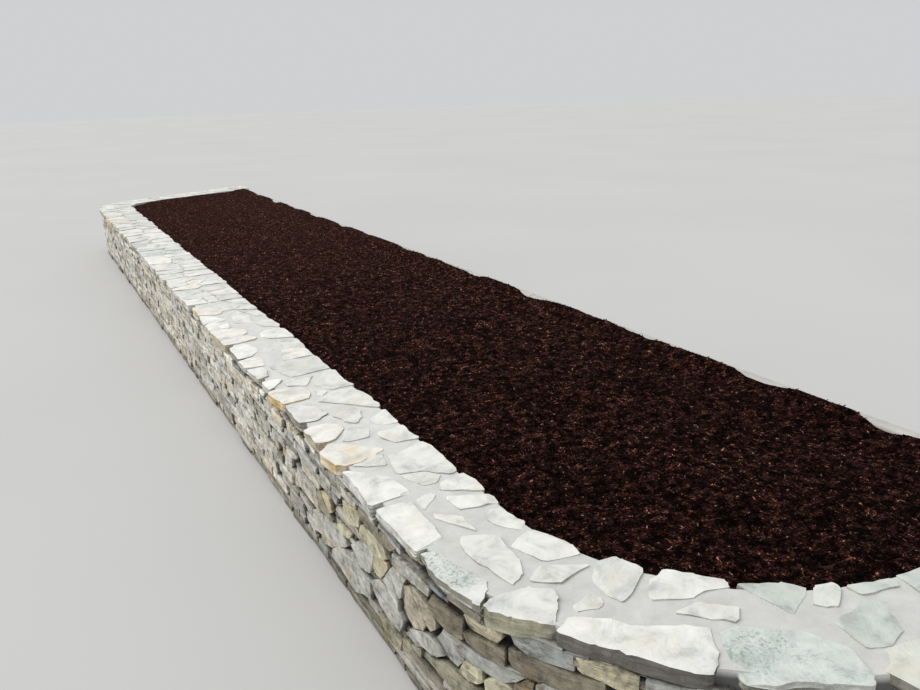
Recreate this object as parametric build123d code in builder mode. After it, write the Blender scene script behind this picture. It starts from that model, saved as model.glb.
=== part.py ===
"""Stone raised flower bed: a low split-stone wall with a flagged coping, filled with soil and bark.

Millimetres. The origin is on the ground at the centre of the bed's box. +X runs from the long front
wall to the terrace side, +Y along the bed from its near curve to its far corner, and +Z is up.
"""

import os
from math import cos, radians, sin, tan

from build123d import *

# Plan of the bed
front_run = 7427.0  # straight part of the front wall, between its two curves
bed_depth = 1771.0  # front edge of the coping to its cut ends at the back
near_inner_radius = 743.0  # quarter curve at the near end, inner face
far_inner_radius = 280.0  # rounded corner at the far end, inner face
far_turn = 71.0  # degrees that the wall turns at the far corner

# Coursed stone wall and its coping
wall_height = 425.0
coping_width = 320.0
coping_thickness = 47.0
coping_overhang = 14.0
coping_arris = 6.0  # worn top edges of the flags
bed_joint = 8.0  # mortar that the flags are bedded on
bed_setback = 22.0  # the mortar's face behind the stone face

# Back wall under the terrace edge, with its concrete kerb
back_thickness = 215.0
kerb_height = 150.0
kerb_thickness = 50.0
kerb_rounding = 12.0
kerb_setback = 15.0  # kerb behind the wall's rear face
kerb_drop = 10.0  # kerb below the coping's top
kerb_joint = 5.0

# Filling
mulch_drop = 45.0  # bark at the walls below the coping's top
mulch_layer = 50.0
mulch_crown = 20.0  # rise of the bark in the middle of the bed

# Bays that the masonry is divided into
front_bays = 6
near_segments = 4
far_segments = 3
back_bays = 5
kerbs_per_bay = 2

# Levels
coping_bed = wall_height + bed_joint
coping_top = coping_bed + coping_thickness
kerb_top = coping_top - kerb_drop
kerb_foot = kerb_top - kerb_height
mulch_edge = coping_top - mulch_drop
soil_top = mulch_edge - mulch_layer

# Corners and centres of the plan
far_heading = 90.0 - far_turn  # direction of the far return, from +X
near_radius = near_inner_radius + coping_width
far_radius = far_inner_radius + coping_width
front_x = -bed_depth / 2
end_x = bed_depth / 2
rear_x = end_x - coping_overhang
kerb_x = rear_x - kerb_setback - kerb_thickness
back_x = rear_x - back_thickness
far_slope = tan(radians(far_heading))
far_turn_end = bed_depth - far_radius * (1 - sin(radians(far_heading)))
far_reach = far_radius * cos(radians(far_heading)) + far_turn_end * far_slope
bed_length = near_radius + front_run + far_reach
near_y = -bed_length / 2
near_centre = Vector(front_x + near_radius, near_y + near_radius)
far_centre = Vector(front_x + far_radius, near_centre.Y + front_run)
near_inner_y = near_y + coping_width


def heading_vector(heading):
    """Unit vector in plan for a heading in degrees from +X."""
    return Vector(cos(radians(heading)), sin(radians(heading)))


def inward_vector(heading):
    """Unit vector square to the wall, on its soil side, for a wall that heads that way."""
    return heading_vector(heading - 90)


def section_plane(edge_point, heading):
    """Upright plane across the wall at a point of its outer edge: X inwards, Y up."""
    return Plane(origin=edge_point, x_dir=inward_vector(heading), z_dir=heading_vector(heading) * -1)


def edge_on_bend(centre, radius, heading):
    """Point of a bend's outer edge where the wall has that heading."""
    return centre - inward_vector(heading) * radius


far_inner_corner = edge_on_bend(far_centre, far_inner_radius, far_heading)


def far_inner_y(x):
    """Y of the far return's inner face at an X."""
    return far_inner_corner.Y + (x - far_inner_corner.X) * far_slope


# Sections across the wall, drawn inwards from the coping's outer edge, with height as Y
mortar_face = coping_overhang + bed_setback
wall_section = [
    (coping_overhang, 0),
    (coping_width, 0),
    (coping_width, coping_bed),
    (mortar_face, coping_bed),
    (mortar_face, wall_height),
    (coping_overhang, wall_height),
]
coping_section = [
    (0, coping_bed),
    (coping_width, coping_bed),
    (coping_width, coping_top - coping_arris),
    (coping_width - coping_arris, coping_top),
    (coping_arris, coping_top),
    (0, coping_top - coping_arris),
]
kerb_section = [
    (kerb_x, kerb_foot),
    (kerb_x + kerb_thickness, kerb_foot),
    (kerb_x + kerb_thickness, kerb_top - kerb_rounding),
    (kerb_x + kerb_thickness - kerb_rounding, kerb_top),
    (kerb_x + kerb_rounding, kerb_top),
    (kerb_x, kerb_top - kerb_rounding),
]


def write(piece, name):
    """Label a finished piece and write its file."""
    piece.label = name
    export_step(piece, f"parts/{name}.step")


def straight_bay(name, section, start, heading, length, cut_x=None):
    """One straight bay from a point of the outer edge, cut square to X where the wall ends."""
    with BuildPart() as bay:
        with BuildSketch(section_plane(start, heading)):
            with BuildLine():
                Polyline(*section, close=True)
            make_face()
        extrude(amount=-length)
        if cut_x is not None:
            split(bisect_by=Plane.YZ.offset(cut_x), keep=Keep.BOTTOM)
    write(bay.part, name)


def bend_bay(name, section, centre, radius, heading, turn):
    """One bay that turns right about a centre, starting at a heading."""
    with BuildPart() as bay:
        with BuildSketch(section_plane(edge_on_bend(centre, radius, heading), heading)):
            with BuildLine():
                Polyline(*section, close=True)
            make_face()
        revolve(axis=Axis((centre.X, centre.Y, 0), (0, 0, -1)), revolution_arc=turn)
    write(bay.part, name)


def front_enclosure(course, section, cut_x):
    """The whole line of one course: near return, near curve, front run, far corner, far return."""
    near_end = Vector(end_x, near_y)
    straight_bay(f"near_return_{course}", section, near_end, 180, end_x - near_centre.X, cut_x)

    near_step = 90 / near_segments
    for i in range(near_segments):
        name = f"near_curve_{course}_{i + 1}"
        bend_bay(name, section, near_centre, near_radius, 180 - i * near_step, near_step)

    front_step = front_run / front_bays
    for i in range(front_bays):
        start = Vector(front_x, near_centre.Y + i * front_step)
        straight_bay(f"front_{course}_{i + 1}", section, start, 90, front_step)

    far_step = far_turn / far_segments
    for i in range(far_segments):
        name = f"far_corner_{course}_{i + 1}"
        bend_bay(name, section, far_centre, far_radius, 90 - i * far_step, far_step)

    far_start = edge_on_bend(far_centre, far_radius, far_heading)
    past_the_end = far_turn_end / cos(radians(far_heading)) + coping_width
    straight_bay(f"far_return_{course}", section, far_start, far_heading, past_the_end, cut_x)


def bed_outline(back_line):
    """Inside of the bed in plan, from the walls' inner faces to a back line at that X."""
    with BuildSketch() as outline:
        with BuildLine():
            near = CenterArc((near_centre.X, near_centre.Y), near_inner_radius, 180, 90)
            far = CenterArc((far_centre.X, far_centre.Y), far_inner_radius, 180, -far_turn)
            Line(near @ 0, far @ 0)
            far_back = (back_line, far_inner_y(back_line))
            Polyline(near @ 1, (back_line, near_inner_y), far_back, far @ 1)
        make_face()
    return outline.sketch


os.makedirs("parts", exist_ok=True)

# Stone wall and coping round the front and both ends
front_enclosure("wall", wall_section, rear_x)
front_enclosure("coping", coping_section, end_x)

# Back wall and kerb between the two returns, the last bay cut to the slanting far return
far_face = Plane(origin=far_inner_corner, x_dir=(0, 0, 1), z_dir=inward_vector(far_heading))
back_step = (far_inner_y(rear_x) - near_inner_y) / back_bays
kerb_step = (far_inner_y(kerb_x) - near_inner_y) / (back_bays * kerbs_per_bay)

for i in range(back_bays):
    last = i == back_bays - 1
    spare = coping_width if last else 0
    start_y = near_inner_y + i * back_step

    with BuildPart() as back_wall:
        with BuildSketch():
            with Locations((back_x, start_y)):
                Rectangle(back_thickness, back_step + spare, align=(Align.MIN, Align.MIN))
        extrude(amount=kerb_foot)
        if last:
            split(bisect_by=far_face, keep=Keep.TOP)
    write(back_wall.part, f"back_wall_{i + 1}")

    with BuildPart() as back_kerb:
        for k in range(kerbs_per_bay):
            kerb_y = near_inner_y + (i * kerbs_per_bay + k) * kerb_step
            end_kerb = last and k == kerbs_per_bay - 1
            kerb_length = kerb_step + spare if end_kerb else kerb_step - kerb_joint
            with BuildSketch(Plane.XZ.offset(-kerb_y)):
                with BuildLine():
                    Polyline(*kerb_section, close=True)
                make_face()
            extrude(amount=-kerb_length)
        if last:
            split(bisect_by=far_face, keep=Keep.TOP)
    write(back_kerb.part, f"back_kerb_{i + 1}")

# Soil up to the bark, wider over the head of the back wall
outline_at_wall = bed_outline(back_x)
outline_at_kerb = bed_outline(kerb_x)
with BuildPart() as soil_fill:
    with BuildSketch():
        add(outline_at_wall)
    extrude(amount=soil_top)
    with BuildSketch(Plane.XY.offset(kerb_foot)):
        add(outline_at_kerb)
    extrude(amount=soil_top - kerb_foot)
write(soil_fill.part, "soil_fill")

# Bark mulch, crowned across the bed and trimmed to its outline
inner_x = front_x + coping_width
middle_x = (inner_x + kerb_x) / 2
with BuildPart() as bark_mulch:
    with BuildSketch(Plane.XZ.offset(bed_length / 2)):
        with BuildLine():
            crown = ThreePointArc(
                (inner_x, mulch_edge), (middle_x, mulch_edge + mulch_crown), (kerb_x, mulch_edge)
            )
            Polyline(crown @ 1, (kerb_x, soil_top), (inner_x, soil_top), crown @ 0)
        make_face()
    extrude(amount=-bed_length)
    with BuildSketch(Plane.XY.offset(soil_top)):
        add(outline_at_kerb)
    extrude(amount=mulch_layer + mulch_drop, mode=Mode.INTERSECT)
write(bark_mulch.part, "bark_mulch")
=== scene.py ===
from math import cos, pi, radians, sin
from random import Random

import bmesh
import bpy
from mathutils import Matrix, Vector, noise


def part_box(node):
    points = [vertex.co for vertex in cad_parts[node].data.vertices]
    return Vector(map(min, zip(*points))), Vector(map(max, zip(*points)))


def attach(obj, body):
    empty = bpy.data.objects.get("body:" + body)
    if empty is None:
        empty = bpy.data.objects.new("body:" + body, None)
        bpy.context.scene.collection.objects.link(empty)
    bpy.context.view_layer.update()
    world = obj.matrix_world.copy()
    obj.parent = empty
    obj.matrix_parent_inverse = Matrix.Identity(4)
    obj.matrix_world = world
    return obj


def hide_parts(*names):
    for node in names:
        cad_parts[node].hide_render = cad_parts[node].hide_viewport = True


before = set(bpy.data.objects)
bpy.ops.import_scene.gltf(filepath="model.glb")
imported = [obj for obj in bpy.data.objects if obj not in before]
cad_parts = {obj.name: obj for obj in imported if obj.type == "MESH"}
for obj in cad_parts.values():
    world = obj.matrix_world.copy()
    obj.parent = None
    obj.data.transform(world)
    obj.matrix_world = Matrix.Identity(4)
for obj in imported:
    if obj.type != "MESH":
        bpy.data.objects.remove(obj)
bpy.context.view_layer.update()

# Viewpoint
# The photograph's own: eye height beside the near curve, looking along the wall and down on its coping.
eye = Vector((-1.5935, -5.3039, 1.61))
turn_right, look_down, tilt = radians(28.95), radians(18.56), radians(-1.89)


def in_scene(name, data):
    """A new object of the scene, made of its data."""
    shown = bpy.data.objects.new(name, data)
    bpy.context.scene.collection.objects.link(shown)
    return shown


camera_data = bpy.data.cameras.new("viewpoint")
camera_data.sensor_width = 36.0
camera_data.lens = 30.34
camera = in_scene("viewpoint", camera_data)
aim = (
    Matrix.Rotation(-turn_right, 3, "Z")
    @ Matrix.Rotation(pi / 2 - look_down, 3, "X")
    @ Matrix.Rotation(tilt, 3, "Z")
)
camera.matrix_world = Matrix.LocRotScale(eye, aim, None)
bpy.context.scene.camera = camera

# Studio
# A plain pale floor under an even overcast sky. One very broad light comes from high behind the far end, so
# the long face is lit and the near curve stands in its own shade.
world = bpy.data.worlds.new("overcast")
world.use_nodes = True
sky = world.node_tree.nodes["Background"].inputs
sky["Color"].default_value = (0.975, 0.985, 1.0, 1.0)
sky["Strength"].default_value = 0.64
bpy.context.scene.world = world

light_from = Vector((-0.55, 0.45, 0.70))
light_data = bpy.data.lights.new("broad_light", "SUN")
light_data.energy = 1.9
light_data.angle = radians(60)
light_data.color = (1.0, 0.985, 0.96)
light = in_scene("broad_light", light_data)
light.rotation_euler = light_from.to_track_quat("Z", "Y").to_euler()

bpy.context.scene.view_settings.view_transform = "Standard"


def add_node(tree, kind, inputs=None, **settings):
    """Adds a node, with its settings, and with its inputs set or linked by name."""
    made = tree.nodes.new(kind)
    for name, value in settings.items():
        setattr(made, name, value)
    for name, value in (inputs or {}).items():
        if isinstance(value, bpy.types.NodeSocket):
            tree.links.new(value, made.inputs[name])
        else:
            made.inputs[name].default_value = value
    return made


def new_finish(name):
    """A material with one Principled shader. Returns it, its tree and the place on the piece."""
    finish = bpy.data.materials.new(name)
    finish.use_nodes = True
    place = add_node(finish.node_tree, "ShaderNodeTexCoord").outputs["Object"]
    return finish, finish.node_tree, place


def close_finish(tree, colour, roughness, gloss=0.5, height=None, depth=0.0, strength=1.0):
    """Gives a material's shader its colour, roughness and gloss, and a relief of that depth in metres."""
    shader = tree.nodes["Principled BSDF"]
    shader.inputs["Roughness"].default_value = roughness
    shader.inputs["Specular IOR Level"].default_value = gloss
    tree.links.new(colour, shader.inputs["Base Color"])
    if height:
        bump = add_node(tree, "ShaderNodeBump", {"Height": height, "Distance": depth, "Strength": strength})
        tree.links.new(bump.outputs[0], shader.inputs["Normal"])


def cloud(tree, place, scale, detail=2.0, roughness=0.5, distortion=0.0):
    """Output of a noise texture at a place."""
    return add_node(tree, "ShaderNodeTexNoise", {
        "Vector": place, "Scale": scale, "Detail": detail, "Roughness": roughness, "Distortion": distortion,
    }).outputs["Fac"]


def ramp(tree, value, *stops, stepped=False):
    """Output of a colour ramp with the given (place, colour) stops."""
    made = add_node(tree, "ShaderNodeValToRGB", {"Fac": value})
    if stepped:
        made.color_ramp.interpolation = "CONSTANT"
    elements = made.color_ramp.elements
    while len(elements) < len(stops):
        elements.new(0.5)
    for element, (place, colour) in zip(elements, stops):
        element.position = place
        element.color = (*colour, 1.0) if isinstance(colour, tuple) else (colour, colour, colour, 1.0)
    return made.outputs["Color"]


def mesh_of(bm, name, material=None):
    """The mesh of a bmesh, which is freed."""
    mesh = bpy.data.meshes.new(name)
    bm.to_mesh(mesh)
    bm.free()
    if material:
        mesh.materials.append(material)
    return mesh


floor_finish, tree, place = new_finish("studio_floor")
clouding = cloud(tree, place, 0.35)
colour = ramp(tree, clouding, (0.3, (0.575, 0.575, 0.57)), (0.7, (0.60, 0.60, 0.595)))
close_finish(tree, colour, roughness=0.9)
bm = bmesh.new()
bmesh.ops.create_circle(bm, cap_ends=True, segments=64, radius=60.0)
floor = in_scene("studio_floor", mesh_of(bm, "studio_floor", floor_finish))
floor.location.z = -0.001

# Heart of the wall
# Rubble and mortar that the face stones are bedded in, one mass from the near return round both bends to
# the far return. It is made as a straight strip and laid on the bed's line, well behind the stones, so that
# their joints are dark. Its near-black colour is painted shade, the shade deep in the joints.
near_low, near_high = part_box("near_return_coping")
front_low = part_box("front_coping_1")[0]
front_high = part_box("front_coping_6")[1]
coping_bed, coping_top = front_low.z, front_high.z
coping_width = 0.320
coping_overhang = 0.014
near_radius = front_low.y - near_low.y
far_radius = 0.600
far_heading = radians(19)
near_return_run = near_high.x - near_low.x
near_curve_end = near_return_run + near_radius * pi / 2
front_end = near_curve_end + front_high.y - front_low.y
far_corner_end = front_end + far_radius * (pi / 2 - far_heading)
far_return_start = Vector((
    front_low.x + far_radius * (1 - sin(far_heading)),
    front_high.y + far_radius * cos(far_heading),
))
far_return_end = far_corner_end + (near_high.x - far_return_start.x) / cos(far_heading)
line_legs = [  # run at its start, plan point there, heading from +X, bend radius
    (0.0, Vector((near_high.x, near_low.y)), pi, 0.0),
    (near_return_run, Vector((near_low.x, near_low.y)), pi, near_radius),
    (near_curve_end, Vector((front_low.x, front_low.y)), pi / 2, 0.0),
    (front_end, Vector((front_low.x, front_high.y)), pi / 2, far_radius),
    (far_corner_end, far_return_start, far_heading, 0.0),
]
back_face = near_high.x - coping_overhang
joint_recess = 0.042  # the heart's face behind the face of the stones


def on_line(point):
    """Place on the bed of a point of the strip: X along the wall, Y outwards from the coping's edge, Z up."""
    start_run, start, heading, radius = line_legs[0]
    for leg in line_legs[1:]:
        if point.x > leg[0]:
            start_run, start, heading, radius = leg
    along = point.x - start_run
    outward = Vector((-sin(heading), cos(heading)))
    if radius:
        turned = heading - along / radius
        plan = start - outward * radius + Vector((-sin(turned), cos(turned))) * (radius + point.y)
    else:
        plan = start + Vector((cos(heading), sin(heading))) * along + outward * point.y
    return Vector((plan.x, plan.y, point.z))


def lay_on_line(bm):
    """Moves every vertex of a strip onto the bed's line."""
    for vert in bm.verts:
        vert.co = on_line(vert.co)


def cut_box(low, high, cuts_along=0, cuts_across=0, cuts_up=0):
    """A new bmesh of a box between two corners, cut into cells along X, Y and Z."""
    low, high = Vector(low), Vector(high)
    box_place = Matrix.Translation((low + high) / 2) @ Matrix.Diagonal((*(high - low), 1.0))
    bm = bmesh.new()
    bmesh.ops.create_cube(bm, size=1.0, matrix=box_place)
    for axis, cuts in enumerate((cuts_along, cuts_across, cuts_up)):
        if cuts:
            spans = [e for e in bm.edges if abs((e.verts[0].co - e.verts[1].co)[axis]) > 1e-6]
            bmesh.ops.subdivide_edges(bm, edges=spans, cuts=cuts, use_grid_fill=True)
    return bm


def trim(bm, plane_co, plane_no):
    """Cuts away what lies past a plane and closes the cut."""
    everything = bm.verts[:] + bm.edges[:] + bm.faces[:]
    bmesh.ops.bisect_plane(bm, geom=everything, plane_co=plane_co, plane_no=plane_no, clear_outer=True)
    bmesh.ops.holes_fill(bm, edges=bm.edges[:], sides=0)
    bmesh.ops.recalc_face_normals(bm, faces=bm.faces[:])


def finish_piece(made, name, material, slot, *nodes):
    """Turns a bmesh or mesh into a piece that rides on the bed and stands for the CAD nodes named."""
    piece = in_scene(name, made if isinstance(made, bpy.types.Mesh) else mesh_of(made, name, material))
    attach(piece, "root")
    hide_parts(*nodes)


def fade(tree, value, low, high, start=0.0, end=1.0):
    """Output that goes from start to end while a value goes from low to high."""
    return add_node(tree, "ShaderNodeMapRange", {
        "Value": value, "From Min": low, "From Max": high, "To Min": start, "To Max": end,
    }).outputs["Result"]


def arithmetic(tree, operation, *values):
    """Output of one operation on values or sockets."""
    return add_node(tree, "ShaderNodeMath", dict(enumerate(values)), operation=operation).outputs[0]


# Shared by stone, mortar, concrete and soil: broad patches, sparse specks, and the relief that both make
grain_group = bpy.data.node_groups.new("mineral_grain", "ShaderNodeTree")
for name, way, kind in (
    ("Place", "INPUT", "Vector"), ("Patch Scale", "INPUT", "Float"), ("Grain Scale", "INPUT", "Float"),
    ("Patches", "OUTPUT", "Float"), ("Specks", "OUTPUT", "Float"), ("Height", "OUTPUT", "Float"),
):
    grain_group.interface.new_socket(name, in_out=way, socket_type=f"NodeSocket{kind}")
given = add_node(grain_group, "NodeGroupInput").outputs
patches = cloud(grain_group, given["Place"], given["Patch Scale"], detail=6.0, roughness=0.62, distortion=0.4)
grains = cloud(grain_group, given["Place"], given["Grain Scale"], detail=3.0, roughness=0.7)
height = arithmetic(grain_group, "MULTIPLY", patches, 0.7)
height = arithmetic(grain_group, "MULTIPLY_ADD", grains, 0.3, height)
add_node(grain_group, "NodeGroupOutput", {
    "Patches": patches, "Specks": fade(grain_group, grains, 0.56, 0.70), "Height": height,
})


def grain_of(tree, place, patch_scale, grain_scale):
    """Outputs of the mineral grain group at a place, at the given scales."""
    return add_node(tree, "ShaderNodeGroup", {
        "Place": place, "Patch Scale": patch_scale, "Grain Scale": grain_scale,
    }, node_tree=grain_group).outputs


joint_mortar_in_painted_shade, tree, place = new_finish("joint_mortar_in_painted_shade")
grain = grain_of(tree, place, patch_scale=18.0, grain_scale=240.0)
# Painted shade: near black, as the shade deep in the joints and holes
colour = ramp(tree, grain["Patches"], (0.3, (0.022, 0.019, 0.016)), (0.7, (0.070, 0.062, 0.052)))
close_finish(tree, colour, roughness=0.95, gloss=0.2, height=grain["Height"], depth=0.004, strength=0.8)

rough_depth, rough_frequency = 0.008, 14.0


def roughen(vert, axis):
    """Moves a vertex of a heart's face in or out along an axis, as rubble is."""
    vert.co[axis] += rough_depth * noise.noise(vert.co * rough_frequency)


wall_nodes = [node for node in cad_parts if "_wall" in node and not node.startswith("back")]
bm = cut_box(
    (coping_overhang + joint_recess, -coping_width, 0.002),
    (far_return_end - coping_overhang - joint_recess, -joint_recess, coping_bed),
    cuts_along=300, cuts_up=8,
)
for vert in bm.verts:
    if vert.co.y > -coping_width / 2:
        roughen(vert, 1)
lay_on_line(bm)
trim(bm, (back_face - joint_recess, 0, 0), (1, 0, 0))
finish_piece(bm, "wall_heart", joint_mortar_in_painted_shade, "wall_stone", *wall_nodes)

# Face stones
# Split schist and quartzite laid in rough courses, each bedded on the lowest place, with slanting ends and
# open head joints. Every stone is its own small block, split, chipped and set a little in or out. The stones
# near the viewpoint are drawn one by one by their corners, and the others are fitted in round them.
noise.seed_set(9)  # left unseeded, the noise vectors that fray the stones would differ on every run
wall_head = 0.410  # top of the highest course
stone_skin = 0.016  # depth of the part of a stone that is worked on
brown_kinds = [  # share, colour
    (24, (0.300, 0.270, 0.205)),
    (20, (0.355, 0.335, 0.265)),
    (15, (0.510, 0.450, 0.300)),
    (15, (0.370, 0.360, 0.262)),
    (12, (0.580, 0.570, 0.510)),
    (7, (0.410, 0.418, 0.395)),
    (7, (0.480, 0.415, 0.315)),
]
pale_kinds = [
    (25, (0.690, 0.667, 0.592)),
    (21, (0.620, 0.606, 0.540)),
    (16, (0.595, 0.580, 0.485)),
    (14, (0.675, 0.625, 0.515)),
    (9, (0.575, 0.575, 0.545)),
    (8, (0.400, 0.378, 0.320)),
    (7, (0.780, 0.762, 0.700)),
]


def pick_colour(rng, kinds):
    """One of the kinds by its share, a little lighter or darker, and a number of its own."""
    share = rng.uniform(0, sum(kind[0] for kind in kinds))
    for weight, colour in kinds:
        share -= weight
        if share <= 0:
            break
    light = rng.uniform(0.80, 1.12)
    return Vector((*(channel * light for channel in colour), rng.random()))


pale_lead, pale_over = 0.9, 1.6  # how far before the near curve's end stones turn pale, and over what run
shaded_curve_lightness, front_lightness = 0.86, 1.04  # painted shade: lightness round the shaded curve, and along the front
# how fast the painted shade lifts past the near curve, and how far past it that starts
shade_lift_rate, shade_lift_lag = 0.18, 0.7


def colour_at(rng, run):
    """Colour of a face stone there: browner and in painted shade round the near curve, paler along the front.
    """
    past_curve = run - near_curve_end
    paler = (past_curve + pale_lead) / pale_over
    colour = pick_colour(rng, pale_kinds if rng.random() < paler else brown_kinds)
    # Painted shade: the near curve's stones are darkened, lifting to full lightness along the front
    light = min(front_lightness, max(shaded_curve_lightness, shaded_curve_lightness + shade_lift_rate * (past_curve - shade_lift_lag)))
    return Vector((*(colour.xyz * light), colour.w))


def face_of(stone):
    """Faces that make the split face of a stone on its back, and their vertices, in a steady order."""
    face = [part for part in stone.faces if min(vert.co.z for vert in part.verts) > 0.001 - stone_skin]
    return face, {vert: None for part in face for vert in part.verts}


def cut_face(stone, plane_co, plane_no):
    """Cuts the face of a stone that lies on its back along a plane, without taking anything away."""
    face, verts = face_of(stone)
    edges = {edge: None for part in face for edge in part.edges}
    bmesh.ops.bisect_plane(
        stone, geom=face + list(edges) + list(verts), dist=0.0015, plane_co=plane_co, plane_no=plane_no,
    )


fray_frequency, fray_again = 25.0, 0.7  # of a stone's outline, and how much more at its face
cut_jitter = 0.25  # how far a cut may lie from its even place, as a share of a cell
steep_slant, slight_slant = 0.35, 0.05  # of the cuts across a stone, and of those along it


def split_stone(
    rng, corners, depth, cell, rounding, ragged, chips, layers, relief, arris, painted_side_shade, colour,
):
    """A split stone on its back, as a closed bmesh. Its face, drawn by its corners, is up, at zero height."""
    stone = bmesh.new()
    stone.faces.new([stone.verts.new((*corner, -depth)) for corner in corners])
    bmesh.ops.bevel(
        stone, geom=stone.verts[:], offset=rounding, offset_type="OFFSET", segments=2, profile=0.5,
        affect="VERTICES", material=-1, clamp_overlap=True,
    )
    for edge in stone.edges[:]:
        cuts = int(edge.calc_length() / cell[0])
        if cuts:
            bmesh.ops.subdivide_edges(stone, edges=[edge], cuts=cuts)
    odd = Vector((rng.uniform(0, 90), rng.uniform(0, 90), rng.uniform(0, 90)))
    for vert in stone.verts:
        vert.co.xy += noise.noise_vector(vert.co * fray_frequency + odd).xy * ragged

    # Pushed up in two steps, to the foot of the skin and to the face
    face = stone.faces[:]
    back = face[0].verts[:]
    for height in (-stone_skin, 0.0):
        face = bmesh.ops.extrude_discrete_faces(stone, faces=face)["faces"]
        for vert in face[0].verts:
            vert.co.z = height
            vert.co.xy += Vector((rng.uniform(-1, 1), rng.uniform(-1, 1))) * ragged * fray_again
    stone.faces.new(reversed(back))

    # Cut into cells for its relief
    low = Vector((min(corner[0] for corner in corners), min(corner[1] for corner in corners), 0.0))
    high = Vector((max(corner[0] for corner in corners), max(corner[1] for corner in corners), 0.0))
    size, middle = high - low, (low + high) / 2
    for axis in (0, 1):
        cuts = int(size[axis] / cell[axis])
        for count in range(cuts):
            place = middle.copy()
            step = count + 1 + rng.uniform(-cut_jitter, cut_jitter)
            place[axis] = low[axis] + size[axis] * step / (cuts + 1)
            most_slant = slight_slant if axis else steep_slant
            slant = rng.uniform(-most_slant, most_slant)
            cut_face(stone, place, (slant, 1, 0) if axis else (1, slant, 0))

    # Chips knocked off at corners
    for _ in range(chips):
        corner = Vector((*rng.choice(corners), 0.0))
        slope = (corner - middle) * 2
        slope = Vector((
            slope.x / size.x * rng.uniform(0.1, 0.6), slope.y / size.y * rng.uniform(0.1, 0.7), 1.0,
        )).normalized()
        plane = corner - slope * rng.uniform(0.003, 0.009)
        cut_face(stone, plane, slope)
        for vert in stone.verts:
            over = (vert.co - plane).dot(slope)
            if over > 0:
                vert.co -= slope * over

    # The relief of the split, and a worn arris round it
    face, verts = face_of(stone)
    for vert in verts:
        vert.co.z += relief * noise.noise(Vector((vert.co.x * layers[0], vert.co.y * layers[1], odd.z)))
    arris = min(arris, size.y * 0.12)
    bmesh.ops.inset_region(stone, faces=face, thickness=arris, depth=0.0, use_even_offset=False)
    inner = {vert: None for part in face for vert in part.verts}
    for vert in verts:
        if vert not in inner:
            vert.co.z -= arris * rng.uniform(0.4, 1.2)
    # Painted shade: the sides behind the worked skin are darkened, as the shade deep in the joints
    tint_and_shade = stone.verts.layers.float_color.new("stone_tint_and_shade")
    for vert in stone.verts:
        shade = 1.0 if vert.co.z > -0.8 * stone_skin else painted_side_shade
        vert[tint_and_shade] = (*(colour.xyz * shade), colour.w)
    return stone


def middle_of(corners):
    """Middle of the corners given."""
    return sum((Vector(corner) for corner in corners), Vector((0, 0))) / len(corners)


painted_joint_shade, no_side_shade = 0.24, 1.0  # painted shade on a stone's sides: their lightness in the joints, and where they are open


def face_stone(rng, corners, depth, colour, proud, painted_side_shade=painted_joint_shade, rough=1.0):
    """A stone of a wall face, drawn by its corners along the wall and up, with its face towards +Y."""
    stone = split_stone(
        rng, corners, depth, cell=(0.042, 0.019), rounding=0.0022, ragged=0.0016 + 0.0004 * rough,
        chips=rng.choice((0, 1, 1, 2) if rough > 0.8 else (0, 0, 1, 1)), layers=(5.0, 75.0),
        relief=rng.uniform(0.0025, 0.0060) * rough, arris=0.0010 + 0.0012 * rough, painted_side_shade=painted_side_shade,
        colour=colour,
    )
    length = max(corner[0] for corner in corners) - min(corner[0] for corner in corners)
    middle = middle_of(corners)
    lean = rng.uniform(-0.07, 0.05) * rough
    swing = rng.uniform(-1, 1) * min(0.09, 0.010 / length) * rough
    for vert in stone.verts:
        along, up, out = vert.co
        out += proud + (up - middle.y) * lean + (along - middle.x) * swing - coping_overhang
        vert.co = Vector((along, min(out, -0.001), max(up, 0.001)))
    return stone


def add_stone(group, stone):
    """Adds a finished stone to its group's mesh and frees it."""
    bmesh.ops.recalc_face_normals(stone, faces=stone.faces[:])
    passing = mesh_of(stone, "passing")
    group.from_mesh(passing)
    bpy.data.meshes.remove(passing)


def new_group():
    """An empty mesh for a group of stones, with their colour layer."""
    group = bmesh.new()
    group.verts.layers.float_color.new("stone_tint_and_shade")
    return group


lowest_notch, narrowest_notch = 0.014, 0.13  # a lower, narrower notch between two stones is passed over
short_share, short_length = 0.22, 0.45  # share of the stones that are short, and how much shorter they are
least_length, least_top = 0.06, 0.024  # no gap shorter or lower than these is left beside or over a stone
even_within = 0.017  # a stone is made level with its neighbour where they would differ by less
too_long, too_high = 1.25, 1.45  # times the most usual, past which a stone is halved


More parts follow.
